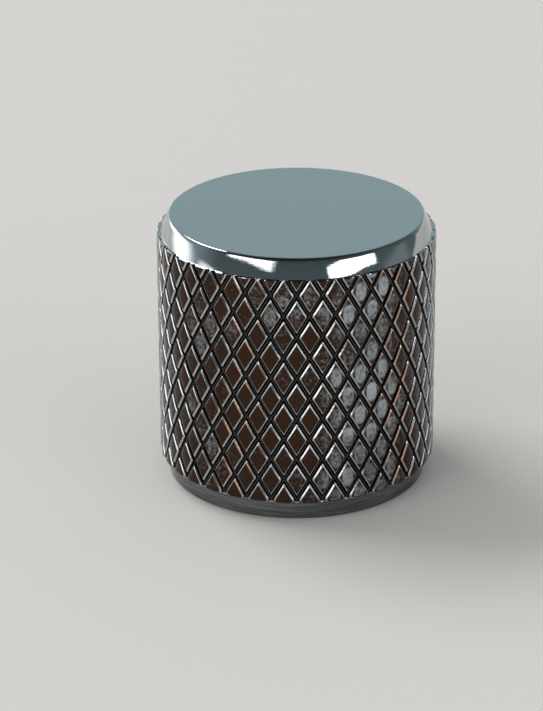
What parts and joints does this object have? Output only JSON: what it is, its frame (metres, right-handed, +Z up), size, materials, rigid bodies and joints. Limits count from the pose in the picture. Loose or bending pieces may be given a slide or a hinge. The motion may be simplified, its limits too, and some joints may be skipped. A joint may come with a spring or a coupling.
{
  "type": "guitar knob",
  "caption": "Flat-topped round control knob with a raised diamond knurl, a polished chamfer, a plain foot, a blind shaft bore and a grub screw.",
  "frame": {"origin": "centre of the flat foot, on the shaft axis", "axes": "+Z up along the shaft axis towards the flat top; the grub screw comes in along -Y from the +Y side"},
  "size_m": [0.018, 0.018, 0.0178],
  "materials": {
    "chrome_plate": "bright chrome plate on turned, knurled and buffed brass",
    "black_oxide": "black oxide on hardened steel"
  },
  "bodies": {
    "root": {"knob_body": "chrome_plate", "set_screw": "black_oxide"}
  },
  "joints": []
}
